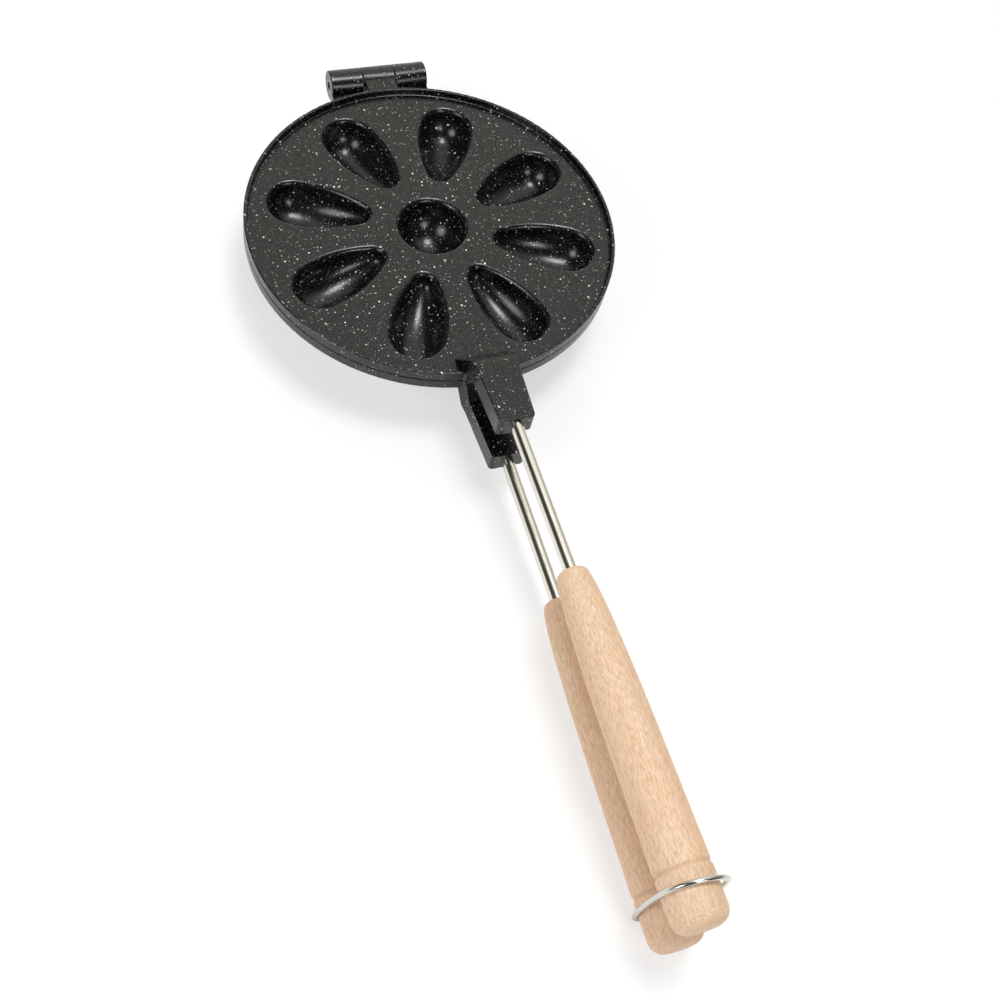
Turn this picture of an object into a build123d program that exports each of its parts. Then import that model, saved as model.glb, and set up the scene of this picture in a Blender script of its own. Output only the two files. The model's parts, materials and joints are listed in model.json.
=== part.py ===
from build123d import *
import os
from math import acos, asin, cos, degrees, radians, sin, sqrt

# Hinged two-plate iron for drop and ball shaped cakes, closed, in millimetres.
# +Z is up, the handles run along -Y, and the hinge is at the +Y end.
# The origin is on the floor, under the middle of the iron's length.

# The two round plates
plate_radius = 90.0
plate_depth = 5.5
parting_gap = 0.3
floor_thickness = 2.1
rim_width = 1.8
rim_round = 0.5
rim_root = 0.8
parting_round = 0.4

# The moulds: eight egg-shaped drops round one ball, sized by the hollows in the top plate's back
drop_count = 8
drop_tip_distance = 36.2
drop_tip_radius = 5.2
drop_end_distance = 67.0
drop_end_radius = 12.15
drop_flank_radius = 59.1
ball_radius = 16.0
mould_sink = 1.0
mould_wall = 1.8
cake_thickness = 2.2
hollow_lip = 2.7
bump_root = 0.6
cavity_lip = 0.4

# The bracket cast on each plate, which holds its rod; distances are from the plate's centre
bracket_foot_distance = 78.5
bracket_foot_half_width = 12.6
ramp_top_distance = 91.0
ramp_top_drop = 1.0
shoulder_distance = 95.4
shoulder_half_width = 9.9
bracket_length = 125.0
lower_bracket_extra = 2.4
bracket_end_half_width = 8.4
bracket_height = 18.1
bracket_thickness = 10.7
neck_distance = 91.4
neck_run = 4.6
neck_fillet = 1.5
bracket_end_round = 2.0
bracket_edge_round = 0.7

# The hinge: the middle knuckle is on the top plate, the outer two on the bottom plate
hinge_distance = 101.4
knuckle_radius = 7.4
hinge_length = 50.6
knuckle_gap = 1.0
knuckle_end_round = 0.6
web_overlap = 8.0
pin_radius = 2.0
pin_clearance = 0.05
pin_recess = 2.2
pin_chamfer = 0.3

# The steel rods: their heights above and below the parting plane are at the top bracket's end,
# and their tilts are in degrees below the level
rod_radius = 3.0
upper_rod_height = 13.3
lower_rod_height = 13.5
upper_rod_tilt = 0.65
lower_rod_tilt = 1.95
rod_in_bracket = 24.0
rod_in_handle = 60.0
rod_chamfer = 0.5

# The turned beech handles: distances along their axis from the front, each with its radius
handle_distance = 198.2
handle_length = 150.6
handle_front_radius = 6.5
handle_swell = [(13.0, 8.5), (28.0, 9.45), (48.0, 10.25), (78.0, 10.9), (118.0, 11.4), (140.0, 11.65)]
handle_back_radius = 11.45
handle_front_round = 3.4
handle_end_round = 6.2
groove_centre = 127.8
groove_radius = 2.2
groove_depth = 0.45

# The wire ring round both handles: an oval of four arcs that hangs on the top handle
wire_radius = 1.05
ring_place = 135.0
ring_half_width = 15.2
ring_end_radius = 14.0
ring_hang = 0.2
ring_shift = 1.0
ring_turn = -4.0

# Places worked out from the sizes above
upper_slope = radians(upper_rod_tilt)
lower_slope = radians(lower_rod_tilt)
mean_slope = (upper_slope + lower_slope) / 2
handle_flat_radius = handle_back_radius - handle_end_round
lower_bracket_length = bracket_length + lower_bracket_extra
handle_start = handle_distance - bracket_length
handle_reach = (handle_start + handle_length) * cos(lower_slope)
iron_back = hinge_distance + knuckle_radius
iron_front = bracket_length + handle_reach + handle_flat_radius * sin(lower_slope)
plate_y = (iron_front - iron_back) / 2
ring_start = handle_start + ring_place
upper_ring_height = upper_rod_height - ring_start * sin(upper_slope)
lower_ring_height = lower_rod_height + ring_start * sin(lower_slope)
ring_spread = (upper_ring_height + lower_ring_height) / 2
ring_drop = (lower_ring_height - upper_ring_height) / 2
ring_reach = (ring_spread + ring_end_radius) * cos(mean_slope) + ring_hang
parting_z = ring_drop + ring_reach + wire_radius
half_gap = parting_gap / 2
upper_face_z = parting_z + half_gap
lower_face_z = parting_z - half_gap
upper_floor_z = upper_face_z + floor_thickness
lower_floor_z = lower_face_z - floor_thickness
upper_mould_z = upper_face_z - mould_sink
lower_mould_z = lower_face_z - mould_sink
hinge_y = plate_y + hinge_distance
knuckle_length = hinge_length / 3
bracket_under = bracket_height - bracket_thickness
drop_span = drop_end_distance - drop_tip_distance
tip_to_flank = drop_flank_radius - drop_tip_radius
end_to_flank = drop_flank_radius - drop_end_radius
flank_run = (tip_to_flank**2 - end_to_flank**2 + drop_span**2) / (2 * drop_span)
flank_distance = drop_tip_distance + flank_run
flank_offset = sqrt(tip_to_flank**2 - flank_run**2)
tip_turn = degrees(acos(-flank_run / tip_to_flank))
end_turn = degrees(acos((drop_span - flank_run) / end_to_flank))
mould_rise = mould_sink + floor_thickness
cavity_grow = mould_wall + cake_thickness
bulge_grow = cavity_grow + mould_wall
bore_mouth = lower_bracket_extra + rod_radius
touch = 0.01

hinge_line = Location((0, hinge_y, parting_z), (0, 90, 0))
upper_line = Plane(
    origin=(0, plate_y - bracket_length, parting_z + upper_rod_height),
    x_dir=(1, 0, 0),
    z_dir=(0, -cos(upper_slope), -sin(upper_slope)),
)
lower_line = Plane(
    origin=(0, plate_y - bracket_length, parting_z - lower_rod_height),
    x_dir=(1, 0, 0),
    z_dir=(0, -cos(lower_slope), -sin(lower_slope)),
)


def drop_side(grow):
    """One side of a drop's outline, along X from the plate's centre, larger all round by grow."""
    with BuildSketch() as side:
        with BuildLine():
            end_arc = CenterArc((drop_end_distance, 0), drop_end_radius + grow, 0, end_turn)
            CenterArc(
                (flank_distance, -flank_offset),
                drop_flank_radius + grow,
                end_turn,
                tip_turn - end_turn,
            )
            tip_arc = CenterArc(
                (drop_tip_distance, 0),
                drop_tip_radius + grow,
                tip_turn,
                180 - tip_turn,
            )
            Line(tip_arc @ 1, end_arc @ 0)
        make_face()
    return side.sketch


def drop_mould(grow, rise):
    """One egg-shaped drop, larger all round by grow: its lower half, and straight walls up by rise."""
    with BuildPart() as drop:
        add(drop_side(grow))
        revolve(axis=Axis.X, revolution_arc=-180)
        with BuildSketch():
            add(drop_side(grow))
            mirror(about=Plane.XZ)
        extrude(amount=rise)
    return drop.part


def ball_mould(grow, rise):
    """The middle mould, larger all round by grow: half a ball, and straight walls up by rise."""
    with BuildPart() as ball:
        Sphere(
            ball_radius + grow,
            arc_size1=-90,
            arc_size2=0,
            align=(Align.CENTER, Align.CENTER, Align.MAX),
        )
        with BuildSketch():
            Circle(ball_radius + grow)
        extrude(amount=rise)
    return ball.part


def drop_places():
    """The drops' places on a plate, with the handles' line midway between two of them."""
    return PolarLocations(0, drop_count, start_angle=180 / drop_count)


def bracket_plan(length):
    """The bracket's outline from above, measured from the plate's centre."""
    return [
        (-bracket_foot_half_width, -bracket_foot_distance),
        (-shoulder_half_width, -shoulder_distance),
        (-bracket_end_half_width, -length),
        (bracket_end_half_width, -length),
        (shoulder_half_width, -shoulder_distance),
        (bracket_foot_half_width, -bracket_foot_distance),
    ]


def bracket_body(length):
    """The bracket as it stands on the top plate: its plan cut to its side view."""
    with BuildPart() as bracket:
        with BuildSketch(Plane.XY.offset(upper_face_z)):
            with Locations((0, plate_y)):
                Polygon(*bracket_plan(length), align=None)
        extrude(amount=bracket_height - half_gap)
        fillet(bracket.edges().filter_by(Axis.Z).group_by(Axis.Y)[0], bracket_end_round)
        outer_edges = bracket.faces().sort_by(Axis.Z)[-1].edges().group_by(Axis.Y)[:-1]
        fillet([edge for group in outer_edges for edge in group], bracket_edge_round)
        with BuildSketch(Plane.YZ):
            with Locations((plate_y, parting_z)):
                Polygon(
                    (-bracket_foot_distance, half_gap),
                    (-bracket_foot_distance, half_gap + floor_thickness),
                    (-ramp_top_distance, bracket_height - ramp_top_drop),
                    (-shoulder_distance, bracket_height),
                    (-length, bracket_height),
                    (-length, bracket_under),
                    (-neck_distance - neck_run, bracket_under),
                    (-neck_distance, half_gap),
                    align=None,
                )
        extrude(amount=plate_radius, both=True, mode=Mode.INTERSECT)
    return bracket.part


def under_neck(side, length):
    """The space between the brackets, in the side view of one plate: side is 1 above, -1 below."""
    return [
        (-neck_distance, side * half_gap),
        (-neck_distance - neck_run, side * bracket_under),
        (-length, side * bracket_under),
        (-length, -side * half_gap),
        (-neck_distance, -side * half_gap),
    ]


def flat_face_at(builder, height):
    """The widest level face of a part at one height."""
    level = builder.faces().filter_by_position(Axis.Z, height - touch, height + touch)
    return level.sort_by(SortBy.AREA)[-1]


# The top plate: pan-shaped back, male moulds below, the middle knuckle and a bracket
with BuildPart() as upper_plate:
    with BuildSketch(Plane.XY.offset(upper_face_z)) as upper_outline:
        with Locations((0, plate_y)):
            Circle(plate_radius)
            Polygon(*bracket_plan(bracket_length), align=None)
        upper_corners = upper_outline.vertices().filter_by_position(
            Axis.Y, plate_y - plate_radius, plate_y - bracket_foot_distance
        )
        fillet(upper_corners, neck_fillet)
    extrude(amount=plate_depth)
    fillet(upper_plate.faces().sort_by(Axis.Z)[0].edges(), parting_round)
    with BuildSketch(Plane.XY.offset(upper_face_z)):
        with Locations((0, hinge_y)):
            Rectangle(
                knuckle_length - knuckle_gap,
                hinge_distance - plate_radius + web_overlap,
                align=(Align.CENTER, Align.MAX),
            )
    extrude(amount=plate_depth)
    with BuildSketch(Plane.XY.offset(upper_floor_z)):
        with Locations((0, plate_y)):
            Circle(plate_radius - rim_width)
    extrude(amount=plate_depth, mode=Mode.SUBTRACT)
    fillet(upper_plate.faces().sort_by(Axis.Z)[-1].edges(), rim_round)
    fillet(flat_face_at(upper_plate, upper_floor_z).edges(), rim_root)
    with Locations((0, plate_y, upper_mould_z)):
        add(ball_mould(mould_wall, mould_rise))
        with drop_places():
            add(drop_mould(mould_wall, mould_rise))
    with Locations((0, plate_y, upper_mould_z)):
        add(ball_mould(0, mould_rise), mode=Mode.SUBTRACT)
        with drop_places():
            add(drop_mould(0, mould_rise), mode=Mode.SUBTRACT)
    fillet(flat_face_at(upper_plate, upper_floor_z).inner_wires().edges(), hollow_lip)
    fillet(flat_face_at(upper_plate, upper_face_z).inner_wires().edges(), bump_root)
    with BuildSketch(Plane.YZ):
        with Locations((plate_y, parting_z)):
            Polygon(*under_neck(1, bracket_length), align=None)
    extrude(amount=plate_radius, both=True, mode=Mode.SUBTRACT)
    add(bracket_body(bracket_length))
    with Locations(hinge_line):
        Cylinder(knuckle_radius, knuckle_length - knuckle_gap)
        Cylinder(pin_radius + pin_clearance, hinge_length, mode=Mode.SUBTRACT)
    with BuildSketch(upper_line.offset(bore_mouth)):
        Circle(rod_radius)
    extrude(amount=-rod_in_bracket - bore_mouth, mode=Mode.SUBTRACT)
upper_plate.part.label = "upper_plate"

# The bottom plate: its mirror twin, with the cakes' cavities and the two outer knuckles
outer_knuckle = knuckle_length - knuckle_gap / 2
outer_knuckle_x = (hinge_length - outer_knuckle) / 2
right_knuckle = Location((0, 0, outer_knuckle_x))
left_knuckle = Location((0, 0, -outer_knuckle_x), (180, 0, 0))
with BuildPart() as barrel:
    Cylinder(knuckle_radius, outer_knuckle)
    fillet(barrel.edges().filter_by(GeomType.CIRCLE).sort_by(Axis.Z)[-1], knuckle_end_round)
with BuildPart() as lower_plate:
    with BuildSketch(Plane.XY.offset(lower_face_z)) as lower_outline:
        with Locations((0, plate_y)):
            Circle(plate_radius)
            Polygon(*bracket_plan(lower_bracket_length), align=None)
        lower_corners = lower_outline.vertices().filter_by_position(
            Axis.Y, plate_y - plate_radius, plate_y - bracket_foot_distance
        )
        fillet(lower_corners, neck_fillet)
    extrude(amount=-plate_depth)
    fillet(lower_plate.faces().sort_by(Axis.Z)[-1].edges(), parting_round)
    with BuildSketch(Plane.XY.offset(lower_face_z)):
        with Locations((-outer_knuckle_x, hinge_y), (outer_knuckle_x, hinge_y)):
            Rectangle(
                outer_knuckle,
                hinge_distance - plate_radius + web_overlap,
                align=(Align.CENTER, Align.MAX),
            )
    extrude(amount=-plate_depth)
    with BuildSketch(Plane.XY.offset(lower_floor_z)):
        with Locations((0, plate_y)):
            Circle(plate_radius - rim_width)
    extrude(amount=-plate_depth, mode=Mode.SUBTRACT)
    fillet(lower_plate.faces().sort_by(Axis.Z)[0].edges(), rim_round)
    fillet(flat_face_at(lower_plate, lower_floor_z).edges(), rim_root)
    with Locations((0, plate_y, lower_mould_z)):
        add(ball_mould(bulge_grow, mould_sink))
        with drop_places():
            add(drop_mould(bulge_grow, mould_sink))
    with Locations((0, plate_y, lower_mould_z)):
        add(ball_mould(cavity_grow, mould_sink), mode=Mode.SUBTRACT)
        with drop_places():
            add(drop_mould(cavity_grow, mould_sink), mode=Mode.SUBTRACT)
    fillet(flat_face_at(lower_plate, lower_face_z).inner_wires().edges(), cavity_lip)
    fillet(flat_face_at(lower_plate, lower_floor_z).inner_wires().edges(), bump_root)
    with BuildSketch(Plane.YZ):
        with Locations((plate_y, parting_z)):
            Polygon(*under_neck(-1, lower_bracket_length), align=None)
    extrude(amount=plate_radius, both=True, mode=Mode.SUBTRACT)
    add(bracket_body(lower_bracket_length).mirror(Plane.XY.offset(parting_z)))
    with Locations(hinge_line):
        with Locations(right_knuckle, left_knuckle):
            add(barrel.part)
        Cylinder(pin_radius, hinge_length, mode=Mode.SUBTRACT)
    with BuildSketch(lower_line.offset(bore_mouth)):
        Circle(rod_radius)
    extrude(amount=-rod_in_bracket - bore_mouth, mode=Mode.SUBTRACT)
lower_plate.part.label = "lower_plate"

# The hinge pin, tight in the outer knuckles and sunk a little at both ends
with BuildPart() as hinge_pin:
    with Locations(hinge_line):
        Cylinder(pin_radius, hinge_length - 2 * pin_recess)
    chamfer(hinge_pin.edges().filter_by(GeomType.CIRCLE), pin_chamfer)
hinge_pin.part.label = "hinge_pin"


def rod_body(line):
    """One rod, tight in its bracket and its handle."""
    with BuildPart() as rod:
        with BuildSketch(line.offset(-rod_in_bracket)):
            Circle(rod_radius)
        extrude(amount=rod_in_bracket + handle_start + rod_in_handle)
        chamfer(rod.edges().filter_by(GeomType.CIRCLE), rod_chamfer)
    return rod.part


with BuildPart() as upper_rod:
    add(rod_body(upper_line))
upper_rod.part.label = "upper_rod"

with BuildPart() as lower_rod:
    add(rod_body(lower_line))
lower_rod.part.label = "lower_rod"

swell_before, swell_after = handle_swell[-2:]
groove_share = (groove_centre - swell_before[0]) / (swell_after[0] - swell_before[0])
groove_surface = swell_before[1] + groove_share * (swell_after[1] - swell_before[1])
groove_height = groove_surface + groove_radius - groove_depth


def handle_body(line):
    """One turned handle with its blind bore, on a rod's line."""
    side_view = Plane(
        origin=line.offset(handle_start).origin,
        x_dir=line.z_dir,
        z_dir=line.x_dir,
    )
    with BuildPart() as body:
        with BuildSketch(side_view) as profile:
            with BuildLine():
                outer = Spline(
                    (0, handle_front_radius),
                    *handle_swell,
                    (handle_length, handle_back_radius),
                )
                Polyline(
                    outer @ 1,
                    (handle_length, 0),
                    (rod_in_handle, 0),
                    (rod_in_handle, rod_radius),
                    (0, rod_radius),
                    outer @ 0,
                )
            make_face()
            front = profile.vertices().sort_by_distance(Vector(0, handle_front_radius))[0]
            fillet(front, handle_front_round)
            back = profile.vertices().sort_by_distance(Vector(handle_length, handle_back_radius))[0]
            fillet(back, handle_end_round)
            with Locations((groove_centre, groove_height)):
                Circle(groove_radius, mode=Mode.SUBTRACT)
        revolve(axis=Axis(side_view.origin, side_view.x_dir))
    return body.part


with BuildPart() as upper_handle:
    add(handle_body(upper_line))
upper_handle.part.label = "upper_handle"

with BuildPart() as lower_handle:
    add(handle_body(lower_line))
lower_handle.part.label = "lower_handle"

# The wire ring: side arcs of large radius join the two end arcs, which lie round the handles
ring_y = upper_line.offset(ring_start).origin.Y
ring_middle = Vector(ring_shift, ring_y, parting_z - ring_drop - ring_hang)
handle_square = Plane(
    origin=ring_middle,
    x_dir=(1, 0, 0),
    z_dir=(0, -cos(mean_slope), -sin(mean_slope)),
)
ring_plane = Plane(handle_square.location * Rotation(0, ring_turn, 0))
side_swell = ring_half_width - ring_end_radius
side_centre = (ring_spread**2 - side_swell**2) / (2 * side_swell)
side_radius = side_centre + ring_half_width
side_angle = degrees(asin(ring_spread / (side_radius - ring_end_radius)))
end_angle = 180 - 2 * side_angle
with BuildPart() as handle_ring:
    with BuildLine(ring_plane) as loop:
        right_side = CenterArc((-side_centre, 0), side_radius, -side_angle, 2 * side_angle)
        CenterArc((0, ring_spread), ring_end_radius, side_angle, end_angle)
        CenterArc((side_centre, 0), side_radius, 180 - side_angle, 2 * side_angle)
        CenterArc((0, -ring_spread), ring_end_radius, 180 + side_angle, end_angle)
    with BuildSketch(Plane(origin=right_side @ 0, z_dir=right_side % 0)):
        Circle(wire_radius)
    sweep(path=loop.wires()[0])
handle_ring.part.label = "handle_ring"

os.makedirs("parts", exist_ok=True)
nodes = [
    upper_plate,
    lower_plate,
    hinge_pin,
    upper_rod,
    lower_rod,
    upper_handle,
    lower_handle,
    handle_ring,
]
for node in nodes:
    export_step(node.part, f"parts/{node.part.label}.step")
    print(node.part.label, round(node.part.volume), len(node.part.solids()))
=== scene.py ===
import json
from math import pi, radians

import bmesh
import bpy
from mathutils import Matrix, Vector


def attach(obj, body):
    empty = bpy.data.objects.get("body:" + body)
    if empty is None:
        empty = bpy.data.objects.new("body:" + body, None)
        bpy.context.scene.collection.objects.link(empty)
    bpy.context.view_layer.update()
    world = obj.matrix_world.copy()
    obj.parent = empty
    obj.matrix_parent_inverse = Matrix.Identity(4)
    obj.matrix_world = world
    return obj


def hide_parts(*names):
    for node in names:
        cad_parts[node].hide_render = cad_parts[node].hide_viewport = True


# The looks of a hinged two-plate cake iron with drop moulds, beech handles and a wire ring.
# Lengths are in metres. +Z is up, the handles run along -Y and the hinge is at +Y.

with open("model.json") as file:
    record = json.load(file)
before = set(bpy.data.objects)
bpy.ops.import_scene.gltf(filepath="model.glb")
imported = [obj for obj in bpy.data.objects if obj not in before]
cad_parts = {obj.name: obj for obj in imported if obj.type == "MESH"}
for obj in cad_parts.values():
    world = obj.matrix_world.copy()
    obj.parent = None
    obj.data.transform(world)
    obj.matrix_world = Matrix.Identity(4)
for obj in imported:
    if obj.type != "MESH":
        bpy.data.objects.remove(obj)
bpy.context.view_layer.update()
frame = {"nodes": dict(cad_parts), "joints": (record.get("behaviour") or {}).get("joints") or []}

MM = 0.001
white = (1, 1, 1, 1)

# Places read from the frame
hinge_joint = next(joint for joint in frame["joints"] if joint["name"] == "lid_hinge")
hinge_distance = 101.4 * MM
plate_middle = Vector(hinge_joint["pos_m"]) - Vector((0, hinge_distance, 0))
rim_height = 5.65 * MM
rim_middle = plate_middle + Vector((0, 0, rim_height))
groove_distance = 326.0 * MM
groove_place = plate_middle.y - groove_distance

# The photograph's camera, placed from the middle of the top plate's rim
camera_offset = Vector((-184.6, -411.3, 493.7)) * MM
camera_forward = Vector((0.2898, 0.4400, -0.8500))
camera_right = Vector((0.9384, -0.3051, 0.1620))
camera_lens = 48.83
sensor_width = 36.0
nearest_seen = 10 * MM

# The studio round the iron: a broad bright side, dim walls, and a glow low down on the left.
# Its edges are parts of a unit direction, and each fades from its first value to its second.
studio_bright = (1.02, 1.02, 0.95, 1)
studio_dim = (0.045, 0.040, 0.035, 1)
bright_edge_x = (-0.40, -0.02)
bright_edge_y = (-0.30, 0.26)
bright_slant = 0.15
right_end_x = (0.55, 0.95)
right_end_light = 0.35
left_glow = 0.85
left_glow_x = (-0.75, -0.35)
left_glow_z = (0.06, 0.26)

# The lamps: the way from the plates to each, the light it lays on a sheet that faces it, and its width
lamp_distance = 1.7
lamp_colour = (0.97, 0.98, 1.0)
lamps = {
    "overhead_lamp": ((0.12, 0.00, 1.0), 0.48, 0.56),
    "front_lamp": ((0.14, -0.82, 0.45), 0.20, 0.50),
    "left_lamp": ((-0.72, -0.28, 0.55), 0.37, 0.84),
}

# The floor's paper. To the camera it is greyer and glows, so that it is white round a soft shadow.
floor_half = 3.0
paper_colour = (0.92, 0.92, 0.92, 1)
paper_seen = (0.45, 0.45, 0.45, 1)
paper_glow_seen = 0.58
paper_glow_mirrored = 0.10

# The coat's flecks: spacing, smallest and largest size, soft edge, whiteness and seed of each layer.
# Sizes and edges are shares of the spacing, and a size below zero leaves no fleck.
fleck_layers = (
    (3.1 * MM, -0.09, 0.18, 0.03, 1.00, 0.00),
    (1.6 * MM, -0.08, 0.25, 0.05, 0.62, 0.31),
    (0.80 * MM, -0.10, 0.34, 0.10, 0.20, 0.67),
)
faintest_fleck = 0.45
fleck_white = (0.88, 0.87, 0.83, 1)
coat_black = (0.0004, 0.0004, 0.0003, 1)
coat_grey = (0.0060, 0.0060, 0.0050, 1)
coat_wander = 0.35 * MM

# The wood's colours. The streaks are multiplied with the base, and so stay near one.
wood_deep = (0.790, 0.540, 0.360, 1)
wood_light = (0.815, 0.590, 0.412, 1)
streak_dark = (0.860, 0.800, 0.730, 1)
streak_light = (1.050, 1.060, 1.080, 1)
pore_brown = (0.50, 0.28, 0.16, 1)
groove_brown = (0.50, 0.28, 0.18, 1)

# The meshes: how near points are joined, and the angle from which an edge stays sharp
joined_within = 0.002 * MM
sharp_from = radians(32.0)


def feed(tree, socket, value):
    """A link into a socket, or a plain value set there."""
    if isinstance(value, bpy.types.NodeSocket):
        tree.links.new(value, socket)
    else:
        socket.default_value = value


def add_node(tree, kind, inputs=None, **settings):
    """One shader node with its settings, and with inputs fed by their names."""
    node = tree.nodes.new(kind)
    for name, value in settings.items():
        setattr(node, name, value)
    for name, value in (inputs or {}).items():
        feed(tree, node.inputs[name], value)
    return node


def calculate(tree, operation, *values, kind="ShaderNodeMath"):
    """A maths node on up to three values or links."""
    node = add_node(tree, kind, operation=operation)
    for socket, value in zip(node.inputs, values):
        feed(tree, socket, value)
    return node.outputs[0]


def ramp_between(tree, value, low, high, start=0.0, end=1.0, curve="SMOOTHSTEP"):
    """A value that goes from start at low to end at high."""
    limits = {"Value": value, "From Min": low, "From Max": high, "To Min": start, "To Max": end}
    return add_node(tree, "ShaderNodeMapRange", limits, interpolation_type=curve).outputs["Result"]


def blend_colours(tree, share, first, second, kind="MIX"):
    """A colour between first and second."""
    node = add_node(tree, "ShaderNodeMix", data_type="RGBA", blend_type=kind)
    for socket, value in ((node.inputs[0], share), (node.inputs[6], first), (node.inputs[7], second)):
        feed(tree, socket, value)
    return node.outputs[2]


def noise(tree, place, scale, detail=2.0, distortion=0.0):
    """A noise texture with scale cells to the metre."""
    inputs = {"Vector": place, "Scale": scale, "Detail": detail, "Distortion": distortion}
    return add_node(tree, "ShaderNodeTexNoise", inputs)


def object_place(tree, scale=(1, 1, 1), location=(0, 0, 0), rotation=(0, 0, 0)):
    """The piece's own coordinates, moved, turned and stretched."""
    source = tree.nodes.new("ShaderNodeTexCoord").outputs["Object"]
    inputs = {"Vector": source, "Location": location, "Rotation": rotation, "Scale": scale}
    return add_node(tree, "ShaderNodeMapping", inputs).outputs["Vector"]


def spots(tree, place, spacing, smallest, largest, least_share=0.0):
    """Scattered round spots, of which least_share have the smallest size.

    Gives how deep a point lies inside one, and a random value for each spot."""
    cells = add_node(tree, "ShaderNodeTexVoronoi", {"Vector": place, "Scale": 1 / spacing})
    chance = add_node(tree, "ShaderNodeSeparateColor", {"Color": cells.outputs["Color"]})
    size = ramp_between(tree, chance.outputs["Red"], least_share, 1.0, smallest, largest)
    return calculate(tree, "SUBTRACT", size, cells.outputs["Distance"]), chance.outputs["Green"]


def new_material(name):
    """An empty node material and its Principled shader."""
    material = bpy.data.materials.new(name)
    material.use_nodes = True
    tree = material.node_tree
    return material, tree, tree.nodes["Principled BSDF"]


def set_shader(tree, shader, inputs):
    """Feeds a shader's inputs by their names."""
    for name, value in inputs.items():
        feed(tree, shader.inputs[name], value)


def speckles(tree, place, spacing, smallest, largest, softness, seed):
    """Round flecks of paint of mixed size: up to 1 inside a fleck, 0 outside."""
    moved = add_node(tree, "ShaderNodeMapping", {"Vector": place, "Location": (seed, 2 * seed, 3 * seed)})
    inside, chance = spots(tree, moved.outputs["Vector"], spacing, smallest, largest)
    mask = ramp_between(tree, inside, 0.0, softness, curve="LINEAR")
    return calculate(tree, "MULTIPLY", mask, ramp_between(tree, chance, 0.0, 1.0, faintest_fleck, 1.0))


def coat_material(name, seed):
    """Dark grey non-stick coat with white flecks of three sizes over a fine pebbled skin."""
    material, tree, shader = new_material(name)
    place = object_place(tree)
    ripple = noise(tree, place, 1 / (1.1 * MM)).outputs["Color"]
    shaped = calculate(tree, "MULTIPLY_ADD", ripple, (coat_wander,) * 3, place, kind="ShaderNodeVectorMath")
    flecks = 0.0
    for spacing, smallest, largest, softness, whiteness, shift in fleck_layers:
        layer = speckles(tree, shaped, spacing, smallest, largest, softness, seed + shift)
        flecks = calculate(tree, "MAXIMUM", flecks, calculate(tree, "MULTIPLY", layer, whiteness))
    mottle = noise(tree, place, 1 / (0.45 * MM)).outputs["Fac"]
    pebbles = noise(tree, place, 1 / (0.7 * MM)).outputs["Fac"]
    ground = blend_colours(tree, ramp_between(tree, mottle, 0.35, 0.68), coat_black, coat_grey)
    bump = add_node(tree, "ShaderNodeBump", {"Height": pebbles, "Strength": 0.6, "Distance": 0.04 * MM})
    set_shader(tree, shader, {
        "Base Color": blend_colours(tree, flecks, ground, fleck_white),
        "Specular IOR Level": ramp_between(tree, mottle, 0.30, 0.70, 0.38, 0.62),
        "Roughness": ramp_between(tree, mottle, 0.25, 0.75, 0.22, 0.28),
        "Normal": bump.outputs["Normal"],
    })
    return material


def wood_material(name, tilt, seed):
    """Sanded pale beech: soft bands, fine fibres along the handle and short dark pores."""
    material, tree, shader = new_material(name)
    turned = (radians(tilt), 0, 0)

    # Broad bands with fine fibres over them
    band_place = object_place(tree, (1, 0.09, 1), (seed, 0, seed * 0.7), turned)
    bands = noise(tree, band_place, 150.0, distortion=0.4).outputs["Fac"]
    tone = blend_colours(tree, ramp_between(tree, bands, 0.3, 0.7), wood_deep, wood_light)
    fibre_place = object_place(tree, (1, 0.12, 1), (seed * 2, 0, seed), turned)
    fibres = noise(tree, fibre_place, 2400.0).outputs["Fac"]
    streak = blend_colours(tree, ramp_between(tree, fibres, 0.36, 0.64), streak_dark, streak_light)
    tone = blend_colours(tree, 1.0, tone, streak, "MULTIPLY")

    # Short pores along the fibres
    pore_place = object_place(tree, (1, 0.20, 1), (seed * 3, 0, seed * 2), turned)
    inside, _ = spots(tree, pore_place, 0.70 * MM, -0.03, 0.30, least_share=0.3)
    pore = ramp_between(tree, inside, 0.0, 0.07, 0.0, 0.75)
    tone = blend_colours(tree, pore, tone, pore_brown)

    # A darker line in the turned groove
    along = add_node(tree, "ShaderNodeSeparateXYZ", {"Vector": object_place(tree)}).outputs["Y"]
    from_groove = calculate(tree, "ABSOLUTE", calculate(tree, "SUBTRACT", along, groove_place))
    groove = ramp_between(tree, from_groove, 0.2 * MM, 1.1 * MM, 0.42, 0.0)

    relief = calculate(tree, "SUBTRACT", fibres, pore)
    bump = add_node(tree, "ShaderNodeBump", {"Height": relief, "Strength": 0.3, "Distance": 0.06 * MM})
    set_shader(tree, shader, {
        "Base Color": blend_colours(tree, groove, tone, groove_brown),
        "Roughness": 0.55,
        "Specular IOR Level": 0.35,
        "Normal": bump.outputs["Normal"],
    })
    return material


def metal_material(name, colour, roughness, streaks):
    """Polished metal with fine drawing lines along its length."""
    material, tree, shader = new_material(name)
    lines = noise(tree, object_place(tree, (1, 0.02, 1)), 2500.0, detail=3.0).outputs["Fac"]
    dull = tuple(part * 0.9 for part in colour)
    set_shader(tree, shader, {
        "Metallic": 1.0,
        "Base Color": blend_colours(tree, lines, (*dull, 1), (*colour, 1)),
        "Roughness": ramp_between(tree, lines, 0.3, 0.7, roughness, roughness + streaks),
    })
    return material


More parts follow.
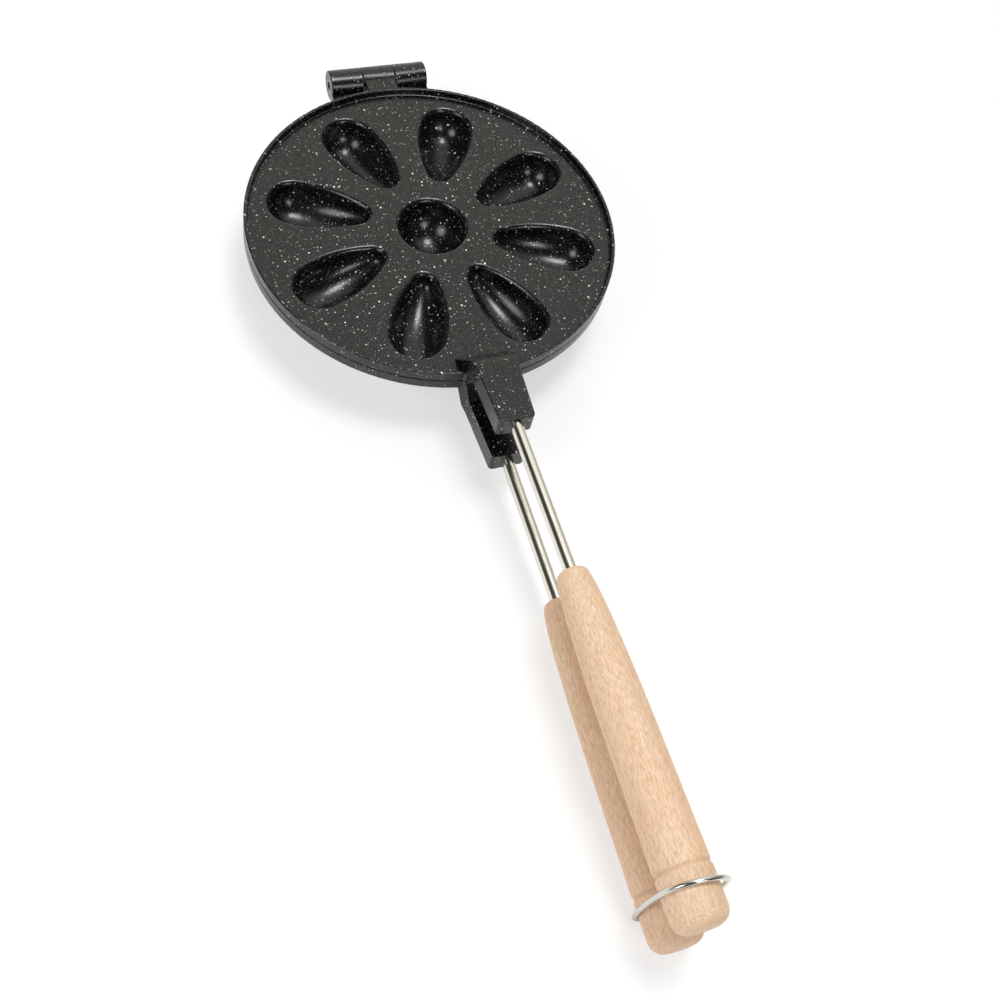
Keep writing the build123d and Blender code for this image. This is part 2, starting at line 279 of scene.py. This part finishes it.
def fine_copy(node, name, material, body):
    """A copy of a CAD node's mesh with shared vertices and smooth faces, standing for that node."""
    mesh = frame["nodes"][node].data.copy()
    mesh.name = name
    work = bmesh.new()
    work.from_mesh(mesh)
    bmesh.ops.remove_doubles(work, verts=work.verts, dist=joined_within)
    for face in work.faces:
        face.smooth = True
        face.material_index = 0
    for edge in work.edges:
        edge.smooth = len(edge.link_faces) == 2 and edge.calc_face_angle() < sharp_from
    work.to_mesh(mesh)
    work.free()
    if "custom_normal" in mesh.attributes:
        mesh.attributes.remove(mesh.attributes["custom_normal"])
    mesh.materials.clear()
    mesh.materials.append(material)
    piece = bpy.data.objects.new(name, mesh)
    bpy.context.scene.collection.objects.link(piece)
    weighted = piece.modifiers.new("face weighted normals", "WEIGHTED_NORMAL")
    weighted.keep_sharp = True
    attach(piece, body)
    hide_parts(node)


def add_camera():
    """The camera at the photograph's place and angle."""
    data = bpy.data.cameras.new("camera")
    data.lens = camera_lens
    data.sensor_width = sensor_width
    data.clip_start = nearest_seen
    back = -camera_forward.normalized()
    right = (camera_right - camera_right.dot(back) * back).normalized()
    turn = Matrix((right, back.cross(right), back)).transposed()
    camera = bpy.data.objects.new("camera", data)
    camera.matrix_world = Matrix.Translation(rim_middle + camera_offset) @ turn.to_4x4()
    bpy.context.scene.collection.objects.link(camera)
    bpy.context.scene.camera = camera


def add_lamp(name, direction, strength, size):
    """A round soft lamp that faces the plates."""
    data = bpy.data.lights.new(name, "AREA")
    data.shape = "DISK"
    data.size = size
    data.color = lamp_colour
    data.energy = strength * (pi * lamp_distance) ** 2
    towards = Vector(direction).normalized()
    lamp = bpy.data.objects.new(name, data)
    lamp.location = plate_middle + towards * lamp_distance
    lamp.rotation_mode = "QUATERNION"
    lamp.rotation_quaternion = towards.to_track_quat("Z", "Y")
    bpy.context.scene.collection.objects.link(lamp)


def add_world():
    """The studio: white for the camera, bright at the back and right, and dim elsewhere."""
    world = bpy.data.worlds.new("studio")
    bpy.context.scene.world = world
    world.use_nodes = True
    tree = world.node_tree
    direction = tree.nodes.new("ShaderNodeTexCoord").outputs["Generated"]
    parts = add_node(tree, "ShaderNodeSeparateXYZ", {"Vector": direction}).outputs
    across = ramp_between(tree, parts["X"], *bright_edge_x)
    slanted = calculate(tree, "ADD", parts["Y"], calculate(tree, "MULTIPLY", parts["X"], bright_slant))
    along = ramp_between(tree, slanted, *bright_edge_y)
    right_end = ramp_between(tree, parts["X"], *right_end_x, 1.0, right_end_light)
    bright = calculate(tree, "MULTIPLY", calculate(tree, "MULTIPLY", across, along), right_end)
    colour = blend_colours(tree, bright, studio_dim, studio_bright)
    low_down = ramp_between(tree, parts["Z"], *left_glow_z, left_glow, 0.0)
    to_the_left = ramp_between(tree, parts["X"], *left_glow_x, 1.0, 0.0)
    colour = blend_colours(tree, calculate(tree, "MULTIPLY", low_down, to_the_left), colour, white)
    seen = tree.nodes.new("ShaderNodeLightPath").outputs["Is Camera Ray"]
    feed(tree, tree.nodes["Background"].inputs["Color"], blend_colours(tree, seen, colour, white))


def add_floor():
    """A pale floor that keeps the iron's soft shadow."""
    corners = [(x * floor_half, y * floor_half, 0) for x, y in ((-1, -1), (1, -1), (1, 1), (-1, 1))]
    mesh = bpy.data.meshes.new("floor")
    mesh.from_pydata(corners, [], [(0, 1, 2, 3)])
    material, tree, shader = new_material("floor_paper")
    paths = tree.nodes.new("ShaderNodeLightPath").outputs
    glow_seen = calculate(tree, "MULTIPLY", paths["Is Camera Ray"], paper_glow_seen)
    glow_mirrored = calculate(tree, "MULTIPLY", paths["Is Glossy Ray"], paper_glow_mirrored)
    set_shader(tree, shader, {
        "Base Color": blend_colours(tree, paths["Is Camera Ray"], paper_colour, paper_seen),
        "Roughness": 0.9,
        "Specular IOR Level": 0.1,
        "Emission Color": white,
        "Emission Strength": calculate(tree, "ADD", glow_seen, glow_mirrored),
    })
    mesh.materials.append(material)
    floor = bpy.data.objects.new("floor", mesh)
    bpy.context.scene.collection.objects.link(floor)


add_camera()
add_world()
add_floor()
for lamp_name, (lamp_direction, lamp_strength, lamp_size) in lamps.items():
    add_lamp(lamp_name, lamp_direction, lamp_strength, lamp_size)
bpy.context.scene.view_settings.view_transform = "Standard"

top_coat = coat_material("speckled_coat_top", 0.13)
bottom_coat = coat_material("speckled_coat_bottom", 0.57)
upper_wood = wood_material("beech_upper", 0.65, 0.21)
lower_wood = wood_material("beech_lower", 1.95, 0.83)
nickel = metal_material("nickel_plate", (0.82, 0.78, 0.70), 0.15, 0.08)
chrome = metal_material("bright_wire", (0.64, 0.63, 0.60), 0.18, 0.06)
pin_steel = metal_material("pin_steel", (0.42, 0.40, 0.38), 0.30, 0.15)

fine_copy("upper_plate", "top_plate", top_coat, "upper")
fine_copy("lower_plate", "bottom_plate", bottom_coat, "lower")
fine_copy("hinge_pin", "hinge_pin_steel", pin_steel, "lower")
fine_copy("upper_rod", "upper_rod_nickel", nickel, "upper")
fine_copy("lower_rod", "lower_rod_nickel", nickel, "lower")
fine_copy("upper_handle", "upper_handle_beech", upper_wood, "upper")
fine_copy("lower_handle", "lower_handle_beech", lower_wood, "lower")
fine_copy("handle_ring", "handle_ring_wire", chrome, "ring")
